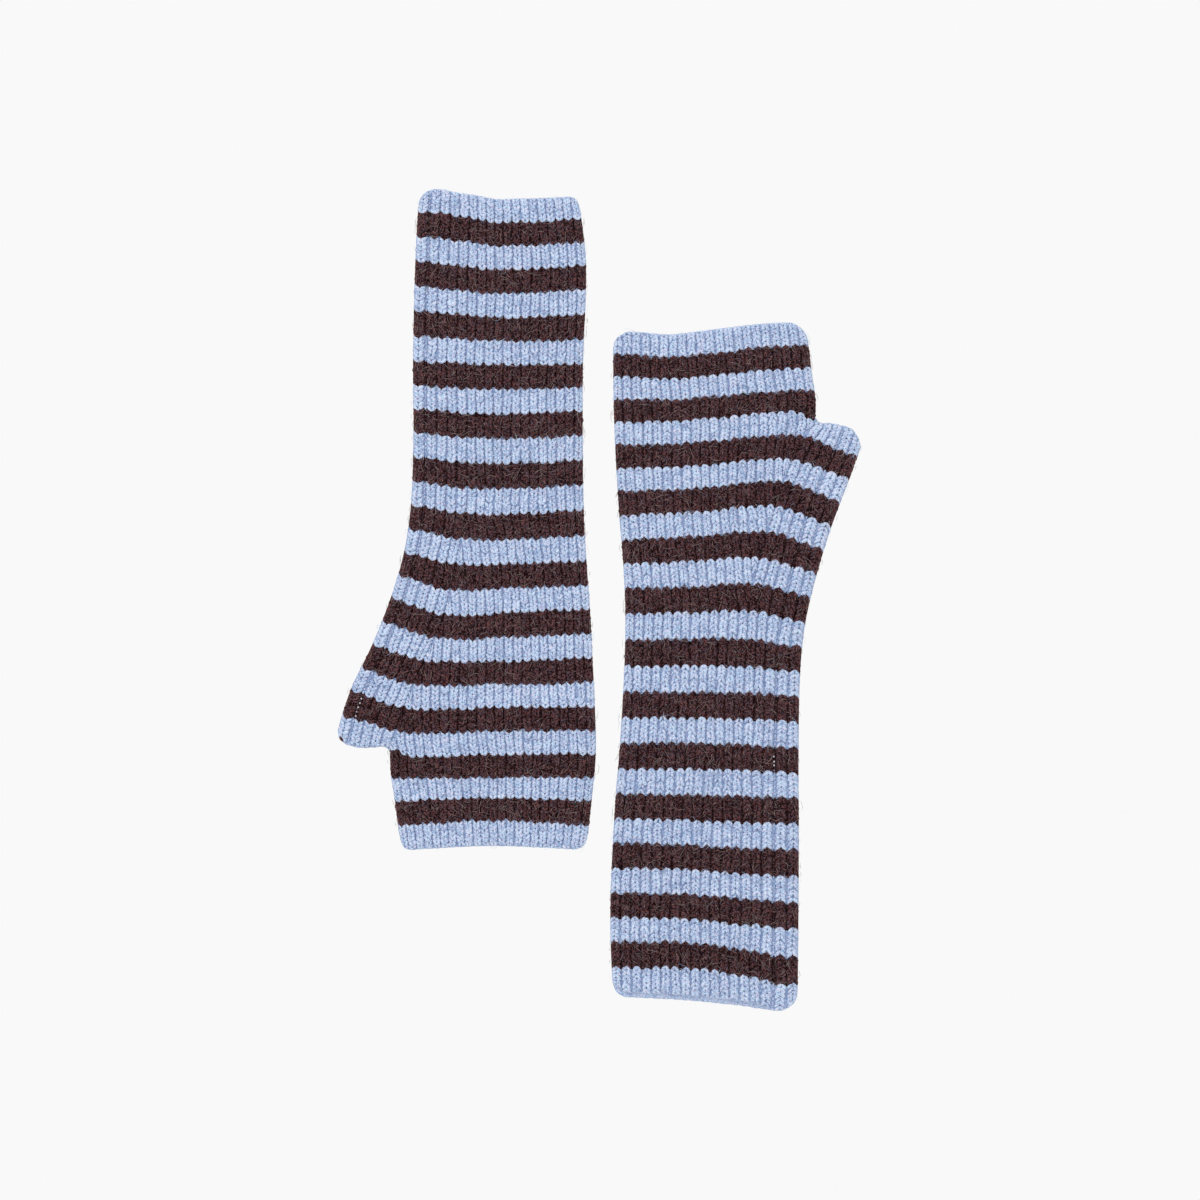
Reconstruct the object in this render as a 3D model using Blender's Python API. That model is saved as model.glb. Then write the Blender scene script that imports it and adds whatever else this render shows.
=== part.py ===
"""A pair of fine rib-knit wrist warmers, striped in two yarns and laid flat side by side.

Each warmer is one knitted tube with a thumb gusset. It is fashioned to shape, folded along the little
finger side and linked down the thumb side, and it lies with its upper half on its lower half.
The ground is z = 0, +Y is towards the top of the layout and +X towards its right.
"""
import math
from collections import namedtuple

import bmesh
import bpy
from mathutils import Vector

MM = 0.001

# Knit: 27 stripes from the finger hem to the forearm hem. The thumb hem lies four stripes down, and the
# smooth roll of each hem is a small share of a stripe.
STRIPES = 27
THUMB_STRIPE = 4
HEM_ROLL_STRIPES = 0.16
THUMB_RIBS = 6
FOREARM_MAIN_RIBS = 13

# Cloth, in millimetres: a plain wall with ribs raised on its outer side. The ribs die out within
# HEM_FADE of a hem, where the wall is thinner. The knit sags at the crotch of the thumb.
WALL = 1.6
HEM_WALL_SHARE = 0.7
RIB_RELIEF = 1.0
HEM_FADE = 2.2
LOWER_TOP = 2.0
HOLLOW = 0.6
SEAM_GAP = 0.3
FOLD_RADIUS = 4.2
CROTCH_SAG = 3.4
CROTCH_SAG_RADIUS = 5.5
CROTCH_WEB = 2.2
CROTCH_WEB_RADIUS = 1.1
THUMB_CORNER_DEPTH = 4.6
THUMB_TUCK = 0.25
CEILING = LOWER_TOP + HOLLOW
LIP = LOWER_TOP + HOLLOW / 2

# The two shoulders of one rib, as places across its width with their share of the relief. More columns
# of points shape the folds at the side edges, and the plain lower half has the second of them as well.
RIB_COLUMNS = ((0.25, 1.0), (0.75, 1.0))
EDGE_COLUMNS = (0.08, 0.35)

Section = namedtuple("Section", "stripe outer_x bend_x thumb_x outer_y middle_y bend_y thumb_y")
Corners = namedtuple("Corners", "finger_outer finger_inner thumb forearm_outer forearm_inner")
Swell = namedtuple("Swell", "x y length width height turn")
Ripple = namedtuple("Ripple", "stripe x rise width reach")
Warmer = namedtuple("Warmer", "name place turn hand_main_ribs sections corners under_peek ripples swells")
Half = namedtuple("Half", "name outer inner ribs_a_column ribbed faces_down")

# One row for each section, in millimetres from the middle of the warmer, fingers up and thumb right.
# The finger part has no thumb side. Ribs bend outwards along the gusset at bend_x.
LEFT_SECTIONS = (
    Section(0, -51.5, 28.3, None, 141.2, 139.5, 141.4, None),
    Section(2, -53.8, 31.1, None, 120.0, 118.8, 120.2, None),
    Section(4, -55.6, 33.1, 57.2, 100.2, 99.9, 100.8, 94.2),
    Section(6, -55.2, 27.4, 50.2, 79.5, 80.0, 80.0, 72.4),
    Section(8, -54.2, 18.3, 40.9, 58.5, 60.0, 59.8, 52.9),
    Section(10, -53.1, 10.3, 32.8, 37.6, 38.9, 39.8, 32.4),
    Section(12, -51.6, 4.6, 27.2, 16.8, 17.9, 18.4, 13.1),
    Section(14, -50.4, 0.5, 24.2, -5.0, -3.4, -3.6, -7.3),
    Section(17, -50.0, 0.0, 23.1, -37.4, -36.0, -36.0, -38.4),
    Section(20, -50.1, 0.1, 23.3, -68.0, -67.2, -67.9, -69.2),
    Section(24, -51.4, -0.6, 22.3, -110.4, -108.5, -109.6, -112.2),
    Section(27, -48.2, -1.0, 20.6, -140.2, -139.3, -141.0, -143.4),
)
RIGHT_SECTIONS = (
    Section(0, -52.8, 30.1, None, 143.9, 144.3, 148.0, None),
    Section(2, -52.9, 32.5, None, 124.2, 124.8, 128.2, None),
    Section(4, -52.5, 34.1, 55.8, 104.8, 106.3, 109.2, 99.5),
    Section(6, -51.6, 24.6, 49.0, 84.9, 86.4, 88.6, 80.6),
    Section(8, -50.3, 16.6, 41.3, 64.5, 66.7, 68.9, 60.0),
    Section(10, -48.6, 10.5, 35.0, 43.8, 45.1, 46.3, 39.6),
    Section(12, -47.7, 5.3, 30.0, 22.4, 22.9, 23.8, 18.4),
    Section(14, -48.1, 3.9, 27.8, 0.0, 0.0, -0.4, -2.4),
    Section(17, -50.0, 3.0, 27.1, -33.3, -33.3, -33.8, -35.4),
    Section(20, -52.5, 2.4, 27.2, -65.7, -66.1, -67.3, -67.9),
    Section(24, -54.2, 1.8, 27.0, -108.2, -108.6, -111.2, -113.4),
    Section(27, -53.2, 1.4, 26.6, -140.3, -141.7, -144.2, -146.4),
)

# The left warmer lies turned end for end. Corner radii, the swells of the upper half and under_peek, by
# which the lower half reaches past the upper one at the forearm hem, are in millimetres as well. Ripples
# are small waves of the hems, which reach a few stripes into the cloth.
WARMERS = (
    Warmer(
        "left", (-57.18, 33.235), math.pi, 23, LEFT_SECTIONS, Corners(5.5, 4.5, 6.0, 4.5, 7.5), 0.0,
        (Ripple(4, 40, -1.8, 5.5, 1.5), Ripple(27, 11, -0.8, 6, 3), Ripple(27, -13, 1.0, 7, 3)),
        (
            Swell(-12, 92, 70, 34, 1.3, 0.1),
            Swell(30, 60, 46, 14, 1.1, -0.38),
            Swell(-34, 6, 60, 16, 0.9, 0.05),
            Swell(6, -42, 64, 18, 0.8, -0.06),
            Swell(-30, -102, 52, 20, 1.1, 0.12),
            Swell(12, -134, 16, 16, 1.4, 0.0),
        ),
    ),
    Warmer(
        "right", (58.62, -28.665), 0.0, 21, RIGHT_SECTIONS, Corners(8.0, 8.5, 8.0, 7.0, 6.5), 2.2,
        (Ripple(4, 41, -2.2, 7, 1.5), Ripple(0, -29, -1.3, 11, 4), Ripple(0, 5, 1.3, 17, 4)),
        (
            Swell(-14, 112, 56, 30, 1.2, -0.1),
            Swell(26, 70, 50, 14, 1.2, -0.36),
            Swell(-30, 30, 60, 18, 0.9, 0.04),
            Swell(8, -18, 64, 18, 0.8, 0.08),
            Swell(-32, -74, 58, 20, 1.0, -0.05),
            Swell(8, -128, 26, 24, 1.4, 0.1),
        ),
    ),
)


def through(knots, values, at):
    """The smooth curve through the values at unevenly spaced knots, read at one place."""
    last = len(knots) - 1
    at = min(max(at, knots[0]), knots[last])
    i = max(n for n in range(last) if at >= knots[n])

    def slope(n):
        before, after = max(n - 1, 0), min(n + 1, last)
        return (values[after] - values[before]) / (knots[after] - knots[before])

    span = knots[i + 1] - knots[i]
    t = (at - knots[i]) / span
    start = (2 * t**3 - 3 * t**2 + 1) * values[i] + (t**3 - 2 * t**2 + t) * span * slope(i)
    end = (3 * t**2 - 2 * t**3) * values[i + 1] + (t**3 - t**2) * span * slope(i + 1)
    return start + end


def column(sections, name, stripe):
    """One column of the section table, read at any stripe."""
    rows = [s for s in sections if getattr(s, name) is not None]
    return through([s.stripe for s in rows], [getattr(s, name) for s in rows], stripe)


def main_ribs(warmer, stripe):
    """How many ribs lie between the outer edge and the gusset: one more for each stripe up to the thumb."""
    grown = warmer.hand_main_ribs - max(0.0, stripe - THUMB_STRIPE)
    return max(FOREARM_MAIN_RIBS, grown)


def all_ribs(warmer, stripe):
    """The same with the ribs of the thumb side, which end at the thumb hem."""
    return main_ribs(warmer, stripe) + (THUMB_RIBS if stripe >= THUMB_STRIPE else 0)


def corner_cut(distance, radius):
    """How far a hem is drawn back at this distance from the side edge, for a corner of this radius."""
    return radius * (1 - rounding(distance, radius))


def rounding(distance, radius):
    """A quarter circle's height: 0 at an edge and 1 from its radius inwards."""
    inside = 1 - min(max(distance, 0.0) / radius, 1.0)
    return math.sqrt(1 - inside**2)


def hem_distances(warmer, stripe, rib):
    """How far this place is from its finger or thumb hem and from the forearm hem, in stripes."""
    upper_hem = THUMB_STRIPE if rib > main_ribs(warmer, stripe) else 0
    return stripe - upper_hem, STRIPES - stripe


def on_cloth(warmer, stripe, rib):
    """The flat place of a point of the cloth, and how far it lies from the nearest side edge."""
    read = {n: column(warmer.sections, n, stripe) for n in Section._fields[1:]}
    main = main_ribs(warmer, stripe)
    knots, heights = [0, main / 2, main], [read["outer_y"], read["middle_y"], read["bend_y"]]
    with_thumb = stripe >= THUMB_STRIPE
    if with_thumb:
        knots.append(main + THUMB_RIBS)
        heights.append(read["thumb_y"])
    y = through(knots, heights, rib)
    if rib <= main:
        x = read["outer_x"] + (read["bend_x"] - read["outer_x"]) * rib / main
    else:
        x = read["bend_x"] + (read["thumb_x"] - read["bend_x"]) * (rib - main) / THUMB_RIBS
    inner_edge = read["thumb_x"] if with_thumb else read["bend_x"]
    to_outer, to_inner = x - read["outer_x"], inner_edge - x
    from_hem, from_forearm = hem_distances(warmer, stripe, rib)
    radii = warmer.corners
    if from_hem < 1 and rib > main:
        cut = min(corner_cut(to_inner, radii.thumb), THUMB_CORNER_DEPTH) * (1 - from_hem) ** 2
        x, y = x - THUMB_TUCK * radii.thumb * cut / THUMB_CORNER_DEPTH, y - cut
    elif from_hem < 1:
        cut = corner_cut(to_outer, radii.finger_outer) + corner_cut(to_inner, radii.finger_inner)
        y -= cut * (1 - from_hem) ** 2
    if from_forearm < 1:
        cut = corner_cut(to_outer, radii.forearm_outer) + corner_cut(to_inner, radii.forearm_inner)
        y += cut * (1 - from_forearm) ** 2
    crotch_x = column(warmer.sections, "bend_x", THUMB_STRIPE)
    crotch_y = column(warmer.sections, "bend_y", THUMB_STRIPE)
    to_crotch = math.hypot(x - crotch_x, y - crotch_y)
    y -= CROTCH_SAG * math.exp(-((to_crotch / CROTCH_SAG_RADIUS) ** 2))
    y += CROTCH_WEB * math.exp(-((to_crotch / CROTCH_WEB_RADIUS) ** 2))
    for r in warmer.ripples:
        y += r.rise * math.exp(-(((x - r.x) / r.width) ** 2) - ((stripe - r.stripe) / r.reach) ** 2)
    return x, y, min(to_outer, to_inner, to_crotch)


def swell(warmer, x, y):
    """The height of the soft, uneven waves in which the upper half lies."""
    total = 0.0
    for s in warmer.swells:
        along = (y - s.y) * math.cos(s.turn) + (x - s.x) * math.sin(s.turn)
        across = (x - s.x) * math.cos(s.turn) - (y - s.y) * math.sin(s.turn)
        total += s.height * math.exp(-((2 * along / s.length) ** 2) - (2 * across / s.width) ** 2)
    return total


def hem_share(warmer, stripe, rib):
    """0 on a hem's edge, where the ribs die out in a smooth roll, and 1 away from it."""
    stripe_length = (warmer.sections[0].outer_y - warmer.sections[-1].outer_y) / STRIPES
    nearest = min(hem_distances(warmer, stripe, rib)) * stripe_length
    return rounding(nearest, HEM_FADE)


def upper_outer(warmer, stripe, rib, relief):
    """A point of the upper half's outer side. relief is the share of the rib's height there."""
    x, y, distance = on_cloth(warmer, stripe, rib)
    share = hem_share(warmer, stripe, rib)
    wall = WALL * (HEM_WALL_SHARE + (1 - HEM_WALL_SHARE) * share)
    top = CEILING + wall + RIB_RELIEF * relief * share + swell(warmer, x, y)
    low = LIP + SEAM_GAP / 2
    return x, y, low + (top - low) * rounding(distance, FOLD_RADIUS)


def inset(warmer, stripe, rib):
    """The flat place of an inner point, drawn in by the wall's thickness at a side edge and at the crotch."""
    x, y, distance = on_cloth(warmer, stripe, rib)
    if rib <= 0:
        x += WALL
    elif rib >= all_ribs(warmer, stripe):
        x -= WALL
    elif distance < SEAM_GAP:
        y -= WALL
    return x, y, distance


def upper_inner(warmer, stripe, rib):
    x, y, distance = inset(warmer, stripe, rib)
    low = LIP + SEAM_GAP / 2
    ceiling = CEILING + swell(warmer, x, y)
    return x, y, low + (ceiling - low) * rounding(distance - WALL, FOLD_RADIUS)


def peeked(warmer, stripe, y):
    """The lengthwise place of a point of the lower half, which may reach further at the forearm hem."""
    return y - warmer.under_peek * max(0.0, 1 - (STRIPES - stripe)) ** 2


def lower_outer(warmer, stripe, rib, _relief):
    x, y, distance = on_cloth(warmer, stripe, rib)
    return x, peeked(warmer, stripe, y), (LIP - SEAM_GAP / 2) * (1 - rounding(distance, FOLD_RADIUS))


def lower_inner(warmer, stripe, rib):
    x, y, _distance = inset(warmer, stripe, rib)
    return x, peeked(warmer, stripe, y), LOWER_TOP


def rib_stops(warmer, stripe, ribs_a_column):
    """The borders between ribs that part a section into cells, the same number of them at every stripe."""
    main, end = main_ribs(warmer, stripe), all_ribs(warmer, stripe)
    stops = [0, *(min(n, main) for n in range(1, warmer.hand_main_ribs, ribs_a_column)), main]
    if end > main:
        stops += sorted(end - n for n in range(1, THUMB_RIBS, ribs_a_column)) + [end]
    return stops


def main_cells(warmer, ribs_a_column):
    """How many cells of a section lie between the outer edge and the gusset."""
    return len(range(1, warmer.hand_main_ribs, ribs_a_column)) + 1


def row_of(warmer, stripe, half):
    """The cells of one section, from border to border. Each is a list of (place, relief) across the cloth."""
    stops = rib_stops(warmer, stripe, half.ribs_a_column)
    cells = []
    for start, end in zip(stops, stops[1:]):
        width = end - start
        inner = [(start + share * width, height * min(1.0, width)) for share, height in RIB_COLUMNS]
        cells.append([(start, 0.0)] + (inner if half.ribbed else []) + [(end, 0.0)])
    edge_columns = EDGE_COLUMNS[:1] if half.ribbed else EDGE_COLUMNS
    cells[0][1:1] = [(place, 0.0) for place in edge_columns]
    for last in {main_cells(warmer, half.ribs_a_column), len(cells)}:
        start, end = cells[last - 1][0][0], cells[last - 1][-1][0]
        cells[last - 1][-1:-1] = [(end - place * min(1.0, end - start), 0.0) for place in edge_columns[::-1]]
    return cells


class Wall:
    """Builds one closed wall of cloth between an outer and an inner side, from sections across it."""

    def __init__(self, warmer, turn_over):
        self.mesh = bmesh.new()
        self.points = {}
        self.turn_over = turn_over
        self.place = Vector((*warmer.place, 0.0))
        self.turn = warmer.turn

    def point(self, x, y, z):
        key = (round(x, 4), round(y, 4), round(z, 4))
        if key not in self.points:
            cos, sin = math.cos(self.turn), math.sin(self.turn)
            spot = Vector((x * cos - y * sin, x * sin + y * cos, z)) + self.place
            self.points[key] = self.mesh.verts.new(spot * MM)
        return self.points[key]

    def face(self, corners, material=0):
        """A face through these points, with points that fall together left out."""
        kept = [c for i, c in enumerate(corners) if c is not corners[i - 1]]
        if len(set(kept)) < 3:
            return
        made = self.mesh.faces.new(kept[::-1] if self.turn_over else kept)
        made.material_index = material
        made.smooth = True


def build_half(warmer, half, yarns):
    """Lofts the wall from section to section, with its end faces at the hems and its lips along the sides."""
    wall = Wall(warmer, half.faces_down)
    hand_cells = main_cells(warmer, half.ribs_a_column)
    stripes = sorted(
        [float(n) for n in range(STRIPES + 1)]
        + [HEM_ROLL_STRIPES, THUMB_STRIPE + HEM_ROLL_STRIPES, STRIPES - HEM_ROLL_STRIPES]
    )

    def section(stripe, below_thumb_hem):
        """Outer and inner points of each cell. Above the thumb hem the section has no thumb side."""
        cells = row_of(warmer, stripe, half)
        if stripe == THUMB_STRIPE and not below_thumb_hem:
            cells = cells[:hand_cells]
        outside = [[wall.point(*half.outer(warmer, stripe, *p)) for p in cell] for cell in cells]
        inside = [[wall.point(*half.inner(warmer, stripe, cell[i][0])) for i in (0, -1)] for cell in cells]
        return outside, inside

    for start, end in zip(stripes, stripes[1:]):
        shade = int((start + end) / 2) % len(yarns)
        (out_a, in_a), (out_b, in_b) = section(start, True), section(end, False)
        for a, b in zip(out_a, out_b):
            for i in range(len(a) - 1):
                wall.face([a[i], b[i], b[i + 1], a[i + 1]], shade)
        for a, b in zip(in_a, in_b):
            wall.face([a[0], a[1], b[1], b[0]], shade)
        wall.face([in_a[0][0], in_b[0][0], out_b[0][0], out_a[0][0]], shade)
        wall.face([out_a[-1][-1], out_b[-1][-1], in_b[-1][1], in_a[-1][1]], shade)

    for stripe, first_cell in ((0.0, 0), (float(THUMB_STRIPE), hand_cells), (float(STRIPES), 0)):
        out_row, in_row = section(stripe, True)
        for a, b in zip(out_row[first_cell:], in_row[first_cell:]):
            ring = a + [b[1], b[0]]
            wall.face(ring[::-1] if stripe == STRIPES else ring)

    data = bpy.data.meshes.new(warmer.name + "_" + half.name)
    wall.mesh.to_mesh(data)
    wall.mesh.free()
    for material in yarns:
        data.materials.append(material)
    return bpy.data.objects.new(data.name, data)


HALVES = (
    Half("upper_half", upper_outer, upper_inner, 1, True, False),
    Half("lower_half", lower_outer, lower_inner, 3, False, True),
)


def yarn(name, colour):
    material = bpy.data.materials.new(name)
    material.use_nodes = True
    shader = material.node_tree.nodes["Principled BSDF"]
    shader.inputs["Base Color"].default_value = (*colour, 1.0)
    shader.inputs["Roughness"].default_value = 0.95
    shader.inputs["Metallic"].default_value = 0.0
    return material


def main():
    for thing in list(bpy.data.objects):
        bpy.data.objects.remove(thing)
    pair = bpy.data.collections.new("wrist_warmers")
    bpy.context.scene.collection.children.link(pair)
    yarns = [yarn("light_blue_yarn", (0.41, 0.50, 0.71)), yarn("dark_brown_yarn", (0.05, 0.026, 0.027))]
    for warmer in WARMERS:
        for half in HALVES:
            pair.objects.link(build_half(warmer, half, yarns))


main()
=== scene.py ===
import math
from collections import namedtuple

import bpy
import numpy as np
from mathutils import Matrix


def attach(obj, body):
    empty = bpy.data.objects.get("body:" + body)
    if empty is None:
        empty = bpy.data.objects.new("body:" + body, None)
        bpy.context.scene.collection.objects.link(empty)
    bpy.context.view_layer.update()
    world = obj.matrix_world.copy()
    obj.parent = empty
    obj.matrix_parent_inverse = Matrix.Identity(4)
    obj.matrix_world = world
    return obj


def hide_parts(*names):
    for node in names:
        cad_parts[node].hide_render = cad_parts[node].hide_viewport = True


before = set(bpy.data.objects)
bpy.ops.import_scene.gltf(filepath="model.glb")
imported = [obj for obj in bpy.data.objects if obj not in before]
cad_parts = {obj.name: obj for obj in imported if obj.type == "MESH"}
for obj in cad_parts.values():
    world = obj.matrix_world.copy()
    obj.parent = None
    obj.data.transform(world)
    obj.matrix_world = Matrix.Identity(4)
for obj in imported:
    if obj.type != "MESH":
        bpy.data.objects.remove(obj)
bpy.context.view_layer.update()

bpy.ops.object.select_all(action="DESELECT")

# The cloth of each warmer: one tube of fine 1x1 rib, fashioned to shape and pressed flat, its upper wall
# lying on its lower one. Each point of it is named by its stripe, counted from the finger hem, and its
# rib, counted from the outer edge, or from the gusset on the thumb side. Lengths are in millimetres.
MM = 0.001
STRIPES = 27
THUMB_STRIPE = 4
THUMB_RIBS = 6
FOREARM_MAIN_RIBS = 13
STRIPE_LENGTH = 10.5
WALL = 1.6
HEM_WALL_SHARE = 0.7
HEM_FADE = 2.2
HEM_INSET = 0.35
EDGE_INSET = 0.1
MIDDLE_LEVEL = 2.3
LOWER_TOP = 2.0
CEILING = 2.6
GROUND_VALLEY = 0.55
FOLD_RADIUS = 4.2
CROTCH_SAG = 3.4
CROTCH_SAG_RADIUS = 5.5
CROTCH_WEB = 2.2
CROTCH_WEB_RADIUS = 1.1
THUMB_CORNER_DEPTH = 4.6
THUMB_TUCK = 0.25
PEEK_END = 16.3
PEEK_FADE = 8.0
RIB_WANDER = 0.32
ROW_WANDER = 0.28
CALM_EDGE = 9.0

Section = namedtuple("Section", "stripe outer_x bend_x thumb_x outer_y middle_y bend_y thumb_y")
Corners = namedtuple("Corners", "finger_outer finger_inner thumb forearm_outer forearm_inner")
Swell = namedtuple("Swell", "x y length width height turn")
Ripple = namedtuple("Ripple", "stripe x rise width reach")
Seam = namedtuple("Seam", "ribs valley dots")
Warmer = namedtuple(
    "Warmer", "name place turn hand_main_ribs sections corners under_peek ripples swells seam"
)

LEFT_SECTIONS = (
    Section(0, -51.5, 28.3, None, 141.2, 139.5, 141.4, None),
    Section(2, -53.8, 31.1, None, 120.0, 118.8, 120.2, None),
    Section(4, -55.6, 33.1, 57.2, 100.2, 99.9, 100.8, 94.2),
    Section(6, -55.2, 27.4, 50.2, 79.5, 80.0, 80.0, 72.4),
    Section(8, -54.2, 18.3, 40.9, 58.5, 60.0, 59.8, 52.9),
    Section(10, -53.1, 10.3, 32.8, 37.6, 38.9, 39.8, 32.4),
    Section(12, -51.6, 4.6, 27.2, 16.8, 17.9, 18.4, 13.1),
    Section(14, -50.4, 0.5, 24.2, -5.0, -3.4, -3.6, -7.3),
    Section(17, -50.0, 0.0, 23.1, -37.4, -36.0, -36.0, -38.4),
    Section(20, -50.1, 0.1, 23.3, -68.0, -67.2, -67.9, -69.2),
    Section(24, -51.4, -0.6, 22.3, -110.4, -108.5, -109.6, -112.2),
    Section(27, -48.2, -1.0, 20.6, -140.2, -139.3, -141.0, -143.4),
)
RIGHT_SECTIONS = (
    Section(0, -52.8, 30.1, None, 143.9, 144.3, 148.0, None),
    Section(2, -52.9, 32.5, None, 124.2, 124.8, 128.2, None),
    Section(4, -52.5, 34.1, 55.8, 104.8, 106.3, 109.2, 99.5),
    Section(6, -51.6, 24.6, 49.0, 84.9, 86.4, 88.6, 80.6),
    Section(8, -50.3, 16.6, 41.3, 64.5, 66.7, 68.9, 60.0),
    Section(10, -48.6, 10.5, 35.0, 43.8, 45.1, 46.3, 39.6),
    Section(12, -47.7, 5.3, 30.0, 22.4, 22.9, 23.8, 18.4),
    Section(14, -48.1, 3.9, 27.8, 0.0, 0.0, -0.4, -2.4),
    Section(17, -50.0, 3.0, 27.1, -33.3, -33.3, -33.8, -35.4),
    Section(20, -52.5, 2.4, 27.2, -65.7, -66.1, -67.3, -67.9),
    Section(24, -54.2, 1.8, 27.0, -108.2, -108.6, -111.2, -113.4),
    Section(27, -53.2, 1.4, 26.6, -140.3, -141.7, -144.2, -146.4),
)
LEFT_SWELLS = (
    Swell(-12, 92, 70, 34, 1.3, 0.1),
    Swell(30, 60, 46, 14, 1.1, -0.38),
    Swell(-34, 6, 60, 16, 0.9, 0.05),
    Swell(6, -42, 64, 18, 0.8, -0.06),
    Swell(-30, -102, 52, 20, 1.1, 0.12),
    Swell(12, -134, 16, 16, 1.4, 0.0),
)
RIGHT_SWELLS = (
    Swell(-14, 112, 56, 30, 1.2, -0.1),
    Swell(26, 70, 50, 14, 1.2, -0.36),
    Swell(-30, 30, 60, 18, 0.9, 0.04),
    Swell(8, -18, 64, 18, 0.8, 0.08),
    Swell(-32, -74, 58, 20, 1.0, -0.05),
    Swell(8, -128, 26, 24, 1.4, 0.1),
)
WARMERS = (
    Warmer(
        "left", (-57.18, 33.235), math.pi, 23, LEFT_SECTIONS, Corners(5.5, 4.5, 6.0, 4.5, 7.5), 0.0,
        (
            Ripple(4, 40, -1.8, 5.5, 1.5), Ripple(27, 11, -0.8, 6, 3), Ripple(27, -13, 1.0, 7, 3),
            Ripple(3, -3, 0.8, 22, 0.8), Ripple(1, -5, -0.6, 26, 0.6),
        ),
        LEFT_SWELLS, Seam((0.0, 1.1, 2.2, 3.32, 4.46, 4.66, 6.0), 4, (5.13, 5.3, 5.48, 5.65, 5.83)),
    ),
    Warmer(
        "right", (58.62, -28.665), 0.0, 21, RIGHT_SECTIONS, Corners(8.0, 8.5, 8.0, 7.0, 6.5), 2.2,
        (
            Ripple(4, 41, -2.2, 7, 1.5), Ripple(0, -29, -1.3, 11, 4), Ripple(0, 5, 1.3, 17, 4),
            Ripple(1, -3, -1.0, 12, 0.9), Ripple(8.5, -15, -0.8, 24, 1.0),
            Ripple(25.5, -16, 1.25, 20, 1.1), Ripple(25.7, 21, -2.1, 9, 0.9),
            Ripple(27, 17, -2.7, 6.5, 0.7),
        ),
        RIGHT_SWELLS, Seam((0.0, 1.06, 2.12, 3.32, 3.5, 4.74, 6.0), 3, (17.39, 17.59, 17.74, 17.94)),
    ),
)


def eased(t, span, start, end, start_slope, end_slope):
    """A smooth curve over one span, from t = 0 to t = 1."""
    return (
        (2 * t**3 - 3 * t**2 + 1) * start
        + (t**3 - 2 * t**2 + t) * span * start_slope
        + (3 * t**2 - 2 * t**3) * end
        + (t**3 - t**2) * span * end_slope
    )


def column(warmer, name, stripe):
    """One column of the section table, read at any stripes."""
    rows = [s for s in warmer.sections if getattr(s, name) is not None]
    knots = np.array([s.stripe for s in rows], float)
    values = np.array([getattr(s, name) for s in rows], float)
    reach = np.arange(len(rows))
    before, after = np.maximum(reach - 1, 0), np.minimum(reach + 1, len(rows) - 1)
    slopes = (values[after] - values[before]) / (knots[after] - knots[before])
    at = np.clip(stripe, knots[0], knots[-1])
    i = np.clip(np.searchsorted(knots, at, side="right") - 1, 0, len(rows) - 2)
    span = knots[i + 1] - knots[i]
    return eased((at - knots[i]) / span, span, values[i], values[i + 1], slopes[i], slopes[i + 1])


def main_ribs(warmer, stripe):
    """How many ribs lie from the outer edge to the gusset: one more for each stripe up to the thumb."""
    grown = warmer.hand_main_ribs - np.maximum(0.0, stripe - THUMB_STRIPE)
    return np.maximum(FOREARM_MAIN_RIBS, grown)


def rounding(distance, radius):
    """A quarter circle's height: 0 at an edge and 1 from its radius inwards."""
    inside = 1 - np.clip(distance / radius, 0.0, 1.0)
    return np.sqrt(1 - inside**2)


def last_rib(warmer, thumb, stripe):
    """The number of the last rib at these stripes, on the thumb side or the main part."""
    return np.where(thumb, THUMB_RIBS, main_ribs(warmer, stripe))


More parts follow.
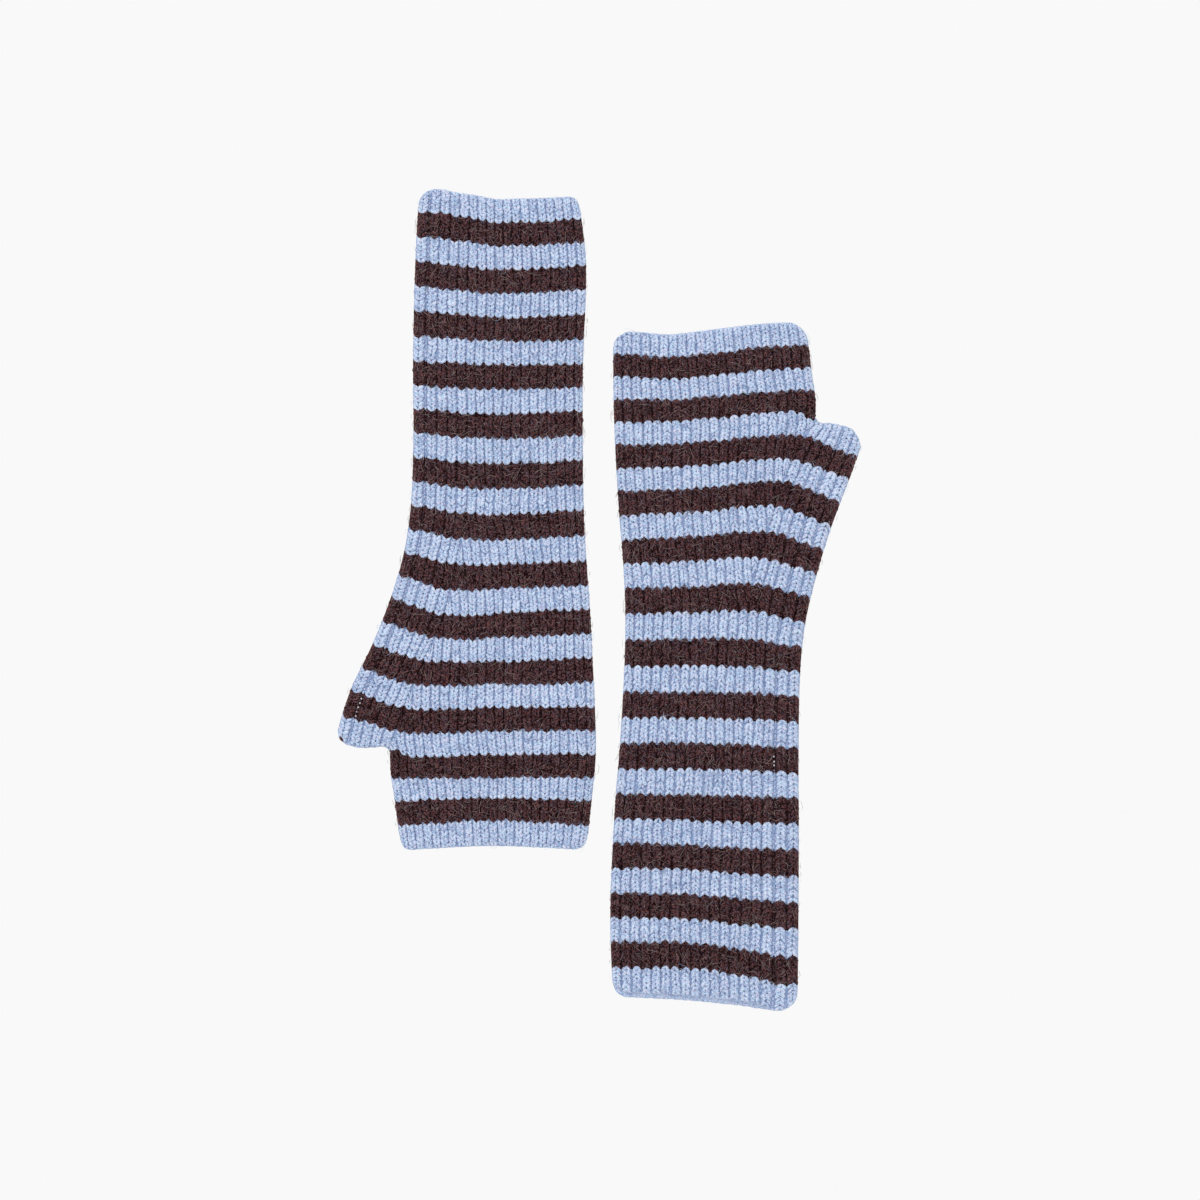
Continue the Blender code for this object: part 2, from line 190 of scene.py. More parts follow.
def on_cloth(warmer, thumb, stripe, rib):
    """Points of the cloth: their flat place, how far a side edge is, and their share of full height."""
    read = {name: column(warmer, name, stripe) for name in Section._fields[1:]}
    main = main_ribs(warmer, stripe)
    half = main / 2
    below = np.maximum(stripe, THUMB_STRIPE)
    fall = column(warmer, "thumb_y", below) - column(warmer, "middle_y", below)
    with_thumb = fall / (main_ribs(warmer, below) / 2 + THUMB_RIBS)
    near_thumb = np.clip(stripe - THUMB_STRIPE + 1, 0.0, 1.0)
    bend_slope = (1 - near_thumb) * (read["bend_y"] - read["middle_y"]) / half
    bend_slope += near_thumb * with_thumb
    middle_slope = (read["bend_y"] - read["outer_y"]) / main
    outer_part = eased(
        rib / half, half, read["outer_y"], read["middle_y"],
        (read["middle_y"] - read["outer_y"]) / half, middle_slope,
    )
    inner_part = eased(
        rib / half - 1, half, read["middle_y"], read["bend_y"], middle_slope, bend_slope
    )
    thumb_part = eased(
        rib / THUMB_RIBS, THUMB_RIBS, read["bend_y"], read["thumb_y"],
        bend_slope, (read["thumb_y"] - read["bend_y"]) / THUMB_RIBS,
    )
    y = np.where(thumb, thumb_part, np.where(rib < half, outer_part, inner_part))
    x = np.where(
        thumb,
        read["bend_x"] + (read["thumb_x"] - read["bend_x"]) * rib / THUMB_RIBS,
        read["outer_x"] + (read["bend_x"] - read["outer_x"]) * rib / main,
    )
    inner_edge = np.where(stripe >= THUMB_STRIPE, read["thumb_x"], read["bend_x"])
    to_outer, to_inner = x - read["outer_x"], inner_edge - x
    from_hem = np.where(thumb, stripe - THUMB_STRIPE, stripe)
    from_forearm = STRIPES - stripe
    radii = warmer.corners

    def corner(distance, radius, away):
        return radius * (1 - rounding(distance, radius)) * np.maximum(0.0, 1 - away) ** 2

    thumb_cut = np.minimum(
        corner(to_inner, radii.thumb, from_hem), THUMB_CORNER_DEPTH * np.maximum(0.0, 1 - from_hem) ** 2
    )
    x -= THUMB_TUCK * radii.thumb / THUMB_CORNER_DEPTH * np.where(thumb, thumb_cut, 0.0)
    y -= np.where(
        thumb,
        thumb_cut,
        corner(to_outer, radii.finger_outer, from_hem) + corner(to_inner, radii.finger_inner, from_hem),
    )
    y += corner(to_outer, radii.forearm_outer, from_forearm)
    y += corner(to_inner, radii.forearm_inner, from_forearm)
    crotch_x = column(warmer, "bend_x", THUMB_STRIPE)
    crotch_y = column(warmer, "bend_y", THUMB_STRIPE)
    to_crotch = np.hypot(x - crotch_x, y - crotch_y)
    y -= CROTCH_SAG * np.exp(-((to_crotch / CROTCH_SAG_RADIUS) ** 2))
    y += CROTCH_WEB * np.exp(-((to_crotch / CROTCH_WEB_RADIUS) ** 2))
    for r in warmer.ripples:
        y += r.rise * np.exp(-(((x - r.x) / r.width) ** 2) - ((stripe - r.stripe) / r.reach) ** 2)
    edge = np.minimum(np.minimum(to_outer, to_inner), to_crotch)
    hem = rounding(np.minimum(from_hem, from_forearm) * STRIPE_LENGTH, HEM_FADE)
    curl = 1 - rounding(edge, FOLD_RADIUS)
    x += EDGE_INSET * curl * np.where(to_outer < to_inner, 1.0, -1.0)
    y += HEM_INSET * (1 - hem) * np.where(from_hem < from_forearm, -1.0, 1.0)
    calm = np.clip(edge / CALM_EDGE, 0.0, 1.0) * np.clip(np.minimum(from_hem, from_forearm), 0.0, 1.0)
    x += RIB_WANDER * calm * np.sin(0.11 * y + 0.05 * x) * np.sin(0.047 * y - 0.16 * x + 1.3)
    y += ROW_WANDER * calm * np.sin(0.21 * x + 0.04 * y + 0.6) * np.sin(0.13 * x - 0.09 * y)
    return x, y, edge, hem


def swell(warmer, x, y):
    """The height of the soft, uneven waves in which the upper wall lies."""
    total = np.zeros_like(x)
    for s in warmer.swells:
        along = (y - s.y) * math.cos(s.turn) + (x - s.x) * math.sin(s.turn)
        across = (x - s.x) * math.cos(s.turn) - (y - s.y) * math.sin(s.turn)
        total += s.height * np.exp(-((2 * along / s.length) ** 2) - (2 * across / s.width) ** 2)
    return total


def cloth_point(warmer, thumb, stripe, rib, upper, inside=False):
    """Points of the tube's ground between the ribs: of its upper or lower wall, outside or inside."""
    x, y, edge, hem = on_cloth(warmer, thumb, stripe, rib)
    if not upper:
        peek = warmer.under_peek * np.clip((PEEK_END - x) / PEEK_FADE, 0.0, 1.0)
        y = y - peek * np.maximum(0.0, 1 - (STRIPES - stripe)) ** 2
    if inside:
        middle = (column(warmer, "outer_x", stripe) + column(warmer, "bend_x", stripe)) / 2
        drawn_in = 1 - np.clip(edge / WALL, 0.0, 1.0)
        x = x + WALL * drawn_in * np.where(x < middle, 1.0, -1.0)
        level = CEILING + swell(warmer, x, y) if upper else LOWER_TOP
        z = MIDDLE_LEVEL + (level - MIDDLE_LEVEL) * rounding(edge - WALL, FOLD_RADIUS)
    elif upper:
        top = CEILING + WALL * (HEM_WALL_SHARE + (1 - HEM_WALL_SHARE) * hem) + swell(warmer, x, y)
        z = MIDDLE_LEVEL + (top - MIDDLE_LEVEL) * rounding(edge, FOLD_RADIUS)
    else:
        z = MIDDLE_LEVEL - (MIDDLE_LEVEL - GROUND_VALLEY) * rounding(edge, FOLD_RADIUS)
    return np.stack([x, y, z * np.ones_like(x)], axis=-1)


def placed(warmer, points):
    """Points of one warmer, in metres and where it lies in the layout."""
    cos, sin = math.cos(warmer.turn), math.sin(warmer.turn)
    x, y, z = points[..., 0], points[..., 1], points[..., 2]
    across = x * cos - y * sin + warmer.place[0]
    along = x * sin + y * cos + warmer.place[1]
    return np.stack([across, along, z], axis=-1) * MM


def mesh_object(name, points, corners, starts, maps=(), attributes=()):
    """A new smooth object from arrays: its points, each face's corners, and maps and values on them."""
    mesh = bpy.data.meshes.new(name)
    mesh.vertices.add(len(points))
    mesh.vertices.foreach_set("co", points.astype(np.float32).ravel())
    mesh.loops.add(len(corners))
    mesh.loops.foreach_set("vertex_index", corners.astype(np.int32))
    mesh.polygons.add(len(starts))
    mesh.polygons.foreach_set("loop_start", starts.astype(np.int32))
    mesh.update(calc_edges=True)
    mesh.polygons.foreach_set("use_smooth", np.ones(len(starts), bool))
    for map_name, places in maps:
        layer = mesh.uv_layers.new(name=map_name)
        layer.uv.foreach_set("vector", places.astype(np.float32).ravel())
    for value_name, values in attributes:
        layer = mesh.attributes.new(value_name, "FLOAT", "POINT")
        layer.data.foreach_set("value", values.astype(np.float32))
    mesh.validate()
    made = bpy.data.objects.new(name, mesh)
    bpy.context.scene.collection.objects.link(made)
    return made


MAP_WIDTH = 470.0
MAP_STEP = 116.0
MAP_START = (60.0, 155.0)
ROWS_TO_A_STRIPE = 3
HEM_HOLD = 0.2
HEM_ROWS = (0.05, 0.12)
EDGE_COLUMNS = (0.0, 0.04, 0.12, 0.25, 0.45, 0.7)


def cloth_tube(warmer):
    """The closed wall of the tube: four sheets of points that meet along the folds and at the hems."""
    near, far = HEM_ROWS
    hem_rows = [near, far, THUMB_STRIPE + near, THUMB_STRIPE + far, STRIPES - far, STRIPES - near]
    stripes = np.unique(np.r_[np.linspace(0, STRIPES, STRIPES * ROWS_TO_A_STRIPE + 1), hem_rows])
    first_thumb = int(np.searchsorted(stripes, THUMB_STRIPE))
    ribs = warmer.hand_main_ribs
    edge = np.array(EDGE_COLUMNS) / ribs
    main_shares = np.r_[edge, np.arange(1, ribs) / ribs, 1 - edge[::-1]]
    edge = np.array(EDGE_COLUMNS) / THUMB_RIBS
    thumb_shares = np.r_[edge[1:], np.arange(1, THUMB_RIBS) / THUMB_RIBS, 1 - edge[::-1]]
    points, place_of, painted_shade_of, stripe_of = [], [], [], []

    def sheet(upper, inside, step, rim):
        """Adds one sheet of points. It shares the numbers of rim, an earlier sheet, along the folds."""
        main_rib = main_shares[None, :] * main_ribs(warmer, stripes)[:, None]
        thumb_rows = stripes[first_thumb:]
        thumb_rib = np.broadcast_to(thumb_shares * THUMB_RIBS, (len(thumb_rows), len(thumb_shares)))
        numbers = []
        for rows, rib, thumb in ((stripes, main_rib, False), (thumb_rows, thumb_rib, True)):
            stripe = np.broadcast_to(rows[:, None], rib.shape)
            flags = np.full(rib.shape, thumb)
            found = cloth_point(warmer, flags, stripe, rib, upper, inside)
            begin = sum(len(p) for p in points)
            number = np.arange(rib.size).reshape(rib.shape) + begin
            points.append(found.reshape(-1, 3))
            on_map = [found[..., 0] + MAP_START[0] + step * MAP_STEP, found[..., 1] + MAP_START[1]]
            place_of.append(np.stack(on_map, -1).reshape(-1, 2))
            # Painted shade: the outer sheets, seen only in the valleys between the ribs, are marked for
            # full shade; the inner sheets for none.
            painted_shade_of.append(np.full(rib.size, 0.0 if inside else 1.0))
            stripe_of.append(np.maximum(stripe, HEM_HOLD + (THUMB_STRIPE if thumb else 0)).ravel())
            numbers.append(number)
        if rim is not None:
            numbers[0][:, 0] = rim[0][:, 0]
            numbers[0][: first_thumb + 1, -1] = rim[0][: first_thumb + 1, -1]
            numbers[1][:, -1] = rim[1][:, -1]
        return numbers

    def quads(numbers, facing_up):
        """The faces of one sheet, with the thumb side joined to the main part along the gusset."""
        main, thumb = numbers
        joined = np.concatenate([main[first_thumb:, -1:], thumb], axis=1)
        made = []
        for grid in (main, joined):
            face = np.stack([grid[:-1, :-1], grid[1:, :-1], grid[1:, 1:], grid[:-1, 1:]], -1)
            face = face.reshape(-1, 4)
            made.append(face if facing_up else face[:, ::-1])
        return np.concatenate(made)

    top = sheet(True, False, 0, None)
    under = sheet(False, False, 1, top)
    ceiling = sheet(True, True, 2, None)
    lining = sheet(False, True, 3, ceiling)

    def rim_quads(outer, inner):
        """The faces between an outer and an inner sheet at the finger, thumb and forearm openings."""
        outer_lines, inner_lines = (
            (main[0], np.r_[main[first_thumb, -1:], thumb[0]], np.r_[main[-1], thumb[-1]])
            for main, thumb in (outer, inner)
        )
        made = []
        for out_line, in_line, up in zip(outer_lines, inner_lines, (True, True, False)):
            face = np.stack([out_line[:-1], out_line[1:], in_line[1:], in_line[:-1]], -1)
            made.append(face if up else face[:, ::-1])
        return np.concatenate(made)

    faces = np.concatenate([
        quads(top, True), quads(under, False), quads(ceiling, False), quads(lining, True),
        rim_quads(top, ceiling), rim_quads(under, lining)[:, ::-1],
    ])
    places = np.concatenate(place_of) / MAP_WIDTH
    corners = faces.ravel()
    return mesh_object(
        f"{warmer.name}_cloth",
        placed(warmer, np.concatenate(points)),
        corners,
        np.arange(len(faces)) * 4,
        maps=[("OFBake", places[corners])],
        attributes=[("painted_shade", np.concatenate(painted_shade_of)), ("stripe", np.concatenate(stripe_of))],
    )


METRES_TO_MM = 1000.0
TINT_AWAY = (310.0, 170.0, 90.0)
WOOL_COLOURS = ("Pale", "Middle", "Deep", "Warm", "Cool")
WOOL_SHARES = ("Fleck Share", "Blotch Share", "Tone Share")


def wool_group():
    """Marled wool: a pale, a middle and a deep colour in soft flecks, some warmer and some cooler, pulled
    towards the deep colour by painted shade.
    """
    group = bpy.data.node_groups.new("marled_wool", "ShaderNodeTree")
    face = group.interface
    face.new_socket("Place", in_out="INPUT", socket_type="NodeSocketVector")
    for name in WOOL_COLOURS:
        face.new_socket(name, in_out="INPUT", socket_type="NodeSocketColor")
    for name in (*WOOL_SHARES, "Fleck Size", "Tone", "Depth", "Shade"):
        face.new_socket(name, in_out="INPUT", socket_type="NodeSocketFloat")
    face.new_socket("Colour", in_out="OUTPUT", socket_type="NodeSocketColor")
    face.new_socket("Height", in_out="OUTPUT", socket_type="NodeSocketFloat")
    nodes, links = group.nodes, group.links
    given = nodes.new("NodeGroupInput")
    result = nodes.new("NodeGroupOutput")

    def maths(operation, first, second, third=None):
        """One sum. Each term is a socket or a number."""
        node = nodes.new("ShaderNodeMath")
        node.operation = operation
        for i, term in enumerate((first, second, third)):
            if isinstance(term, (int, float)):
                node.inputs[i].default_value = term
            elif term is not None:
                links.new(term, node.inputs[i])
        return node.outputs[0]

    in_mm = nodes.new("ShaderNodeVectorMath")
    in_mm.operation = "SCALE"
    in_mm.inputs["Scale"].default_value = METRES_TO_MM
    links.new(given.outputs["Place"], in_mm.inputs[0])
    elsewhere = nodes.new("ShaderNodeVectorMath")
    elsewhere.inputs[1].default_value = TINT_AWAY
    links.new(in_mm.outputs[0], elsewhere.inputs[0])

    def noise(scale, detail, distortion, at=in_mm):
        """Soft noise from 0 to 1, of this scale in flecks a millimetre."""
        node = nodes.new("ShaderNodeTexNoise")
        node.inputs["Detail"].default_value = detail
        node.inputs["Distortion"].default_value = distortion
        links.new(at.outputs[0], node.inputs["Vector"])
        links.new(scale, node.inputs["Scale"])
        return node.outputs["Fac"]

    fleck = noise(maths("DIVIDE", 1.0, given.outputs["Fleck Size"]), 2.0, 0.4)
    blotch = noise(maths("DIVIDE", 0.16, given.outputs["Fleck Size"]), 1.0, 0.0)
    warmth = noise(maths("DIVIDE", 0.55, given.outputs["Fleck Size"]), 2.0, 0.0, elsewhere)
    spread = 0.5
    for pattern, share in ((fleck, "Fleck Share"), (blotch, "Blotch Share")):
        spread = maths("MULTIPLY_ADD", maths("SUBTRACT", pattern, 0.5), given.outputs[share], spread)
    spread = maths("MULTIPLY_ADD", given.outputs["Tone"], given.outputs["Tone Share"], spread)
    # Painted shade: each point's shade value, times Shade, is taken off the flecks' spread, so low-lying
    # points turn to the deep colour.
    shade = maths("MULTIPLY", given.outputs["Depth"], given.outputs["Shade"])
    shaded_spread = maths("SUBTRACT", spread, shade)

    def mix(share, first, second, blend="MIX"):
        """Two colours, the second one by this share, or in full for None."""
        node = nodes.new("ShaderNodeMix")
        node.data_type = "RGBA"
        node.blend_type = blend
        if share is None:
            node.inputs["Factor"].default_value = 1.0
        else:
            links.new(share, node.inputs["Factor"])
        links.new(first, node.inputs["A"])
        links.new(second, node.inputs["B"])
        return node.outputs["Result"]

    def between(value, low, high):
        """An even rise from 0 to 1 as the value goes from low to high."""
        node = nodes.new("ShaderNodeMapRange")
        node.interpolation_type = "SMOOTHSTEP"
        node.inputs["From Min"].default_value = low
        node.inputs["From Max"].default_value = high
        links.new(value, node.inputs["Value"])
        return node.outputs["Result"]

    lower = mix(between(shaded_spread, -0.05, 0.45), given.outputs["Deep"], given.outputs["Middle"])
    plain = mix(between(shaded_spread, 0.35, 0.85), lower, given.outputs["Pale"])
    tint = mix(between(warmth, 0.36, 0.64), given.outputs["Cool"], given.outputs["Warm"])
    links.new(mix(None, plain, tint, "MULTIPLY"), result.inputs["Colour"])
    links.new(fleck, result.inputs["Height"])
    return group


marled_wool = wool_group()
WHITE_GLOW = (1.0, 1.0, 1.0)
BLUE_TINTS = ((1.09, 0.98, 0.98), (0.90, 1.01, 1.02))
BROWN_TINTS = ((1.22, 0.94, 0.84), (0.80, 1.04, 1.18))


def wool(name, colours, fleck, shares, shade, sheen=0.06, glow=WHITE_GLOW, tints=BLUE_TINTS):
    """A wool material. It reads each stitch's tone and each point's painted shade, which darkens it
    towards the deep colour.
    """
    made = bpy.data.materials.new(name)
    made.use_nodes = True
    nodes, links = made.node_tree.nodes, made.node_tree.links
    shader = nodes["Principled BSDF"]
    shader.inputs["Roughness"].default_value = 0.95
    shader.inputs["Specular IOR Level"].default_value = 0.06
    shader.inputs["Sheen Weight"].default_value = sheen
    shader.inputs["Sheen Roughness"].default_value = 0.35
    shader.inputs["Sheen Tint"].default_value = (*glow, 1.0)
    yarn = nodes.new("ShaderNodeGroup")
    yarn.node_tree = marled_wool
    for socket, colour in zip(WOOL_COLOURS, (*colours, *tints)):
        yarn.inputs[socket].default_value = (*colour, 1.0)
    yarn.inputs["Fleck Size"].default_value = fleck
    for socket, share in zip(WOOL_SHARES, shares):
        yarn.inputs[socket].default_value = share
    yarn.inputs["Shade"].default_value = shade
    place = nodes.new("ShaderNodeTexCoord")
    links.new(place.outputs["Object"], yarn.inputs["Place"])
    # The depth attribute is painted shade: it darkens each point towards the deep colour.
    for socket, attribute in (("Tone", "tone"), ("Depth", "painted_shade")):
        read = nodes.new("ShaderNodeAttribute")
        read.attribute_name = attribute
        links.new(read.outputs["Fac"], yarn.inputs[socket])
    bump = nodes.new("ShaderNodeBump")
    bump.inputs["Strength"].default_value = 0.35
    bump.inputs["Distance"].default_value = 0.0004
    links.new(yarn.outputs["Height"], bump.inputs["Height"])
    links.new(bump.outputs["Normal"], shader.inputs["Normal"])
    links.new(yarn.outputs["Colour"], shader.inputs["Base Color"])
    return made, yarn, shader


# Each yarn's pale, middle and deep colours. The deep colour is partly the yarn's own dark flecks and
# partly painted shade, where points are marked as lying low.
BLUE = ((0.70, 0.79, 0.95), (0.50, 0.60, 0.82), (0.27, 0.36, 0.58))
BROWN = ((0.124, 0.065, 0.074), (0.042, 0.019, 0.024), (0.008, 0.002, 0.003))
BROWN_GLOW = (0.60, 0.22, 0.12)
blue_wool = wool("blue_wool", BLUE, 0.55, (3.9, 0.35, 0.09), 0.34)[0]
brown_wool = wool("brown_wool", BROWN, 0.62, (6.0, 0.5, 0.08), 0.2, 0.4, BROWN_GLOW, BROWN_TINTS)[0]

# The ground's own material has both yarns: it changes at each stripe, a little later in the valleys.
VALLEY_SHIFT = 0.08
# Painted shade: with its Shade and the outer sheets' shade value the ground turns mostly to the deep blue
# in the valleys.
ground_wool, ground_yarn, ground_shader = wool("ground_wool", BLUE, 0.58, (2.6, 0.6, 0.0), 0.42)
nodes, links = ground_wool.node_tree.nodes, ground_wool.node_tree.links
stripe_read = nodes.new("ShaderNodeAttribute")
stripe_read.attribute_name = "stripe"
halved = nodes.new("ShaderNodeMath")
halved.operation = "MULTIPLY_ADD"
halved.inputs[1].default_value = 0.5
halved.inputs[2].default_value = -VALLEY_SHIFT / 2
links.new(stripe_read.outputs["Fac"], halved.inputs[0])
wrapped = nodes.new("ShaderNodeMath")
wrapped.operation = "FRACT"
links.new(halved.outputs[0], wrapped.inputs[0])
is_brown = nodes.new("ShaderNodeMath")
is_brown.operation = "GREATER_THAN"
is_brown.inputs[1].default_value = 0.5
links.new(wrapped.outputs[0], is_brown.inputs[0])
brown_yarn = nodes.new("ShaderNodeGroup")
brown_yarn.node_tree = marled_wool
# Painted shade: the ground's brown is set one step darker than the ribs' brown, as the valleys' shade.
for socket, colour in zip(WOOL_COLOURS, (BROWN[1], BROWN[2], BROWN[2], *BROWN_TINTS)):
    brown_yarn.inputs[socket].default_value = (*colour, 1.0)
for socket in ("Fleck Size", "Fleck Share", "Blotch Share"):
    brown_yarn.inputs[socket].default_value = ground_yarn.inputs[socket].default_value
for link in ground_yarn.inputs["Place"].links:
    links.new(link.from_socket, brown_yarn.inputs["Place"])
both = nodes.new("ShaderNodeMix")
both.data_type = "RGBA"
links.new(is_brown.outputs[0], both.inputs["Factor"])
links.new(ground_yarn.outputs["Colour"], both.inputs["A"])
links.new(brown_yarn.outputs["Colour"], both.inputs["B"])
links.new(both.outputs["Result"], ground_shader.inputs["Base Color"])

cloths = {warmer.name: cloth_tube(warmer) for warmer in WARMERS}
for name, cloth in cloths.items():
    cloth.data.materials.append(ground_wool)
    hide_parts(f"{name}_upper_half", f"{name}_lower_half")
    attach(cloth, "root")

# The ribs: every knit stitch of both sides, in its own yarn. A stitch is two plump legs that meet towards
# the fingers. One leg is modelled, copied for the other and for every stitch, and laid on the cloth.
ROWS_OF_STRIPE = 6
LEG_RISE = 0.72
LEG_LEAD = 0.2
LEG_PATH = (
    (0.0, -0.70, 0.26, 0.0),
    (0.08, -0.36, 0.46, 0.58),
    (0.18, 0.06, 0.54, 0.74),
    (0.27, 0.45, 0.48, 0.72),
    (0.35, 0.78, 0.30, 0.56),
    (0.41, 1.02, 0.05, 0.0),
)
FLAT_LEG_PATH = (
    (0.0, -0.60, 0.20, 0.0),
    (0.14, 0.0, 0.45, 0.72),
    (0.32, 0.55, 0.40, 0.72),
    (0.45, 1.0, 0.05, 0.0),
)
LEG_ACROSS, LEG_ALONG = 0.9, -0.53
NARROWEST_STITCH = 0.35
PLUMP_SPREAD, RIB_SPREAD, ROW_SPREAD = 0.09, 0.04, 0.09
HEM_EASE = 3.0
FOLD_EASE = 4.0
PAINTED_SHADE_FROM, PAINTED_SHADE_SPAN = -0.05, 0.55
HEM_GAP = 0.01
SLOPE_STEP = 0.05
Stitch = namedtuple("Stitch", "thumb rib width stripe")


def ball_of(segments, rings):
    """The ring and the turn round the axis of each of a ball's points, and its faces in a fixed order."""
    bpy.ops.mesh.primitive_uv_sphere_add(segments=segments, ring_count=rings)
    ball = bpy.context.object
    round_points = np.array([v.co[:] for v in ball.data.vertices])
    faces = sorted(tuple(p.vertices) for p in ball.data.polygons)
    bpy.data.objects.remove(ball)
    ring = np.rint(rings * (1 - np.arccos(np.clip(round_points[:, 2], -1, 1)) / np.pi)).astype(int)
    return ring, np.arctan2(round_points[:, 1], round_points[:, 0]), faces


def leg_shape(segments, path):
    """One leg from a ball: each point's place in ribs and rows, its offsets in mm, and the faces."""
    ring, turn, faces = ball_of(segments, len(path) - 1)
    at = np.array(path)[ring]
    side, lift = at[:, 3] * np.cos(turn), at[:, 3] * np.sin(turn) * LEG_RISE
    shape = np.stack([at[:, 0], at[:, 1], side * LEG_ACROSS, side * LEG_ALONG, at[:, 2] + lift], 1)
    return shape, faces


def copied(faces, size, count):
    """The faces of many copies of one shape in one mesh: their corners, and where each face starts."""
    corners = np.array([i for face in faces for i in face])
    lengths = np.array([len(face) for face in faces])
    starts = np.concatenate([[0], np.cumsum(np.tile(lengths, count))[:-1]])
    return (corners[None, :] + size * np.arange(count)[:, None]).ravel(), starts


def stitches_of(warmer, upper):
    """Every knit stitch of one side of a warmer. The upper side leaves the seam's valley open."""
    listed = []
    stops = warmer.seam.ribs if upper else range(THUMB_RIBS + 1)
    strip = list(zip(stops, stops[1:]))
    if upper:
        del strip[warmer.seam.valley]
    for row in range(STRIPES * ROWS_OF_STRIPE):
        stripe = (row + 0.5) / ROWS_OF_STRIPE
        main = float(main_ribs(warmer, stripe))
        for n in range(math.ceil(main)):
            width = min(1.0, main - n)
            if width > NARROWEST_STITCH:
                listed.append(Stitch(False, n + width / 2, width, stripe))
        if row >= THUMB_STRIPE * ROWS_OF_STRIPE:
            listed += [Stitch(True, (a + b) / 2, b - a, stripe) for a, b in strip]
    return listed


def laid(warmer, upper, thumb, rib, stripe, across, along, lift):
    """Points at these ribs and stripes, moved by offsets in mm along the cloth and off its outer face."""
    first = np.where(thumb, THUMB_STRIPE + HEM_GAP, HEM_GAP)
    stripe = np.clip(stripe, first, STRIPES - HEM_GAP)
    whole = last_rib(warmer, thumb, stripe)
    rib = np.clip(rib, 0.0, whole)

    def at(stripe, rib):
        return cloth_point(warmer, thumb, stripe, rib, upper)

    base = at(stripe, rib)
    step = SLOPE_STEP
    by_rib = at(stripe, np.minimum(rib + step, whole)) - at(stripe, np.maximum(rib - step, 0.0))
    by_row = at(np.minimum(stripe + step, STRIPES), rib) - at(np.maximum(stripe - step, 0.0), rib)
    by_rib /= np.linalg.norm(by_rib, axis=-1, keepdims=True)
    by_row /= np.linalg.norm(by_row, axis=-1, keepdims=True)
    normal = np.cross(by_row, by_rib) if upper else np.cross(by_rib, by_row)
    normal /= np.linalg.norm(normal, axis=-1, keepdims=True)
    return base + by_rib * across[..., None] + by_row * along[..., None] + normal * lift[..., None]


def knitted(warmer, name, upper, blue, segments, path, dice):
    """One joined mesh with all the stitches of one yarn on one side."""
    own = [s for s in stitches_of(warmer, upper) if (int(s.stripe) % 2 == 0) == blue]
    shape, faces = leg_shape(segments, path)
    both = np.concatenate([shape, shape * (-1, 1, -1, 1, 1)])
    both_faces = faces + [tuple(i + len(shape) for i in reversed(f)) for f in faces]
    count, size = len(own), len(both)
    thumb, rib, width, stripe = (np.array(values)[:, None] for values in zip(*own))
    plump = 1 + PLUMP_SPREAD * dice.standard_normal((count, 1))
    rib = rib + RIB_SPREAD * dice.standard_normal((count, 1)) + both[None, :, 0] * width
    early = both[None, :, 1] - LEG_LEAD + ROW_SPREAD * dice.standard_normal((count, 1))
    stripe = stripe + early / ROWS_OF_STRIPE
    tone = dice.standard_normal((count, 1)) * np.ones((1, size))
    thumb = np.broadcast_to(thumb, rib.shape)
    from_hem = np.minimum(np.where(thumb, stripe - THUMB_STRIPE, stripe), STRIPES - stripe)
    relief = 0.45 + 0.55 * np.clip(from_hem * STRIPE_LENGTH / HEM_EASE, 0.0, 1.0)
    edge = on_cloth(warmer, thumb, stripe, np.clip(rib, 0.0, last_rib(warmer, thumb, stripe)))[2]
    relief *= 0.5 + 0.5 * np.clip(edge / FOLD_EASE, 0.0, 1.0)
    across, along = both[None, :, 2] * plump * width, both[None, :, 3] * plump
    lift = both[None, :, 4] * plump * relief
    points = laid(warmer, upper, thumb, rib, stripe, across, along, lift)
    points[..., 2] = np.maximum(points[..., 2], 0.0)
    # Painted shade: each leg is darkened towards the deep colour as it sinks towards the ground, standing
    # in for the shade between the legs and in the valleys.
    painted_shade = np.clip(1 - (both[None, :, 4] - PAINTED_SHADE_FROM) / PAINTED_SHADE_SPAN, 0.0, 1.0) * np.ones_like(rib)
    pattern = both_faces if upper else [tuple(reversed(f)) for f in both_faces]
    made = mesh_object(
        name, placed(warmer, points).reshape(-1, 3), *copied(pattern, size, count),
        attributes=[("tone", tone.ravel()), ("painted_shade", painted_shade.ravel())],
    )
    made.data.materials.append(blue_wool if blue else brown_wool)
    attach(made, "root")
    return made


added = {warmer.name: [] for warmer in WARMERS}
for warmer in WARMERS:
    dice = np.random.default_rng(7 if warmer.name == "left" else 11)
    for yarn, blue in (("blue", True), ("brown", False)):
        added[warmer.name] += [
            knitted(warmer, f"{warmer.name}_ribs_{yarn}", True, blue, 5, LEG_PATH, dice),
            knitted(warmer, f"{warmer.name}_under_ribs_{yarn}", False, blue, 4, FLAT_LEG_PATH, dice),
        ]

# The hems: one firm, rolled edge round the finger, thumb and forearm openings, knitted on in the light
# blue yarn. Each is a bead swept round the middle of the cloth's wall.
BEAD_SPACING = 0.38
BEAD_ALONG = 0.8
BEAD_ACROSS = 0.68
BEAD_SIDES = 10
BEAD_FLOOR = 0.02
BEAD_WAVE = 1.6
LINE_SOFTENING = 3
OUTWARDS_SOFTENING = 24
MAIN_RIM_POINTS = 160
THUMB_RIM_POINTS = 60
OPENINGS = {"finger": 0.0, "thumb": float(THUMB_STRIPE), "forearm": float(STRIPES)}


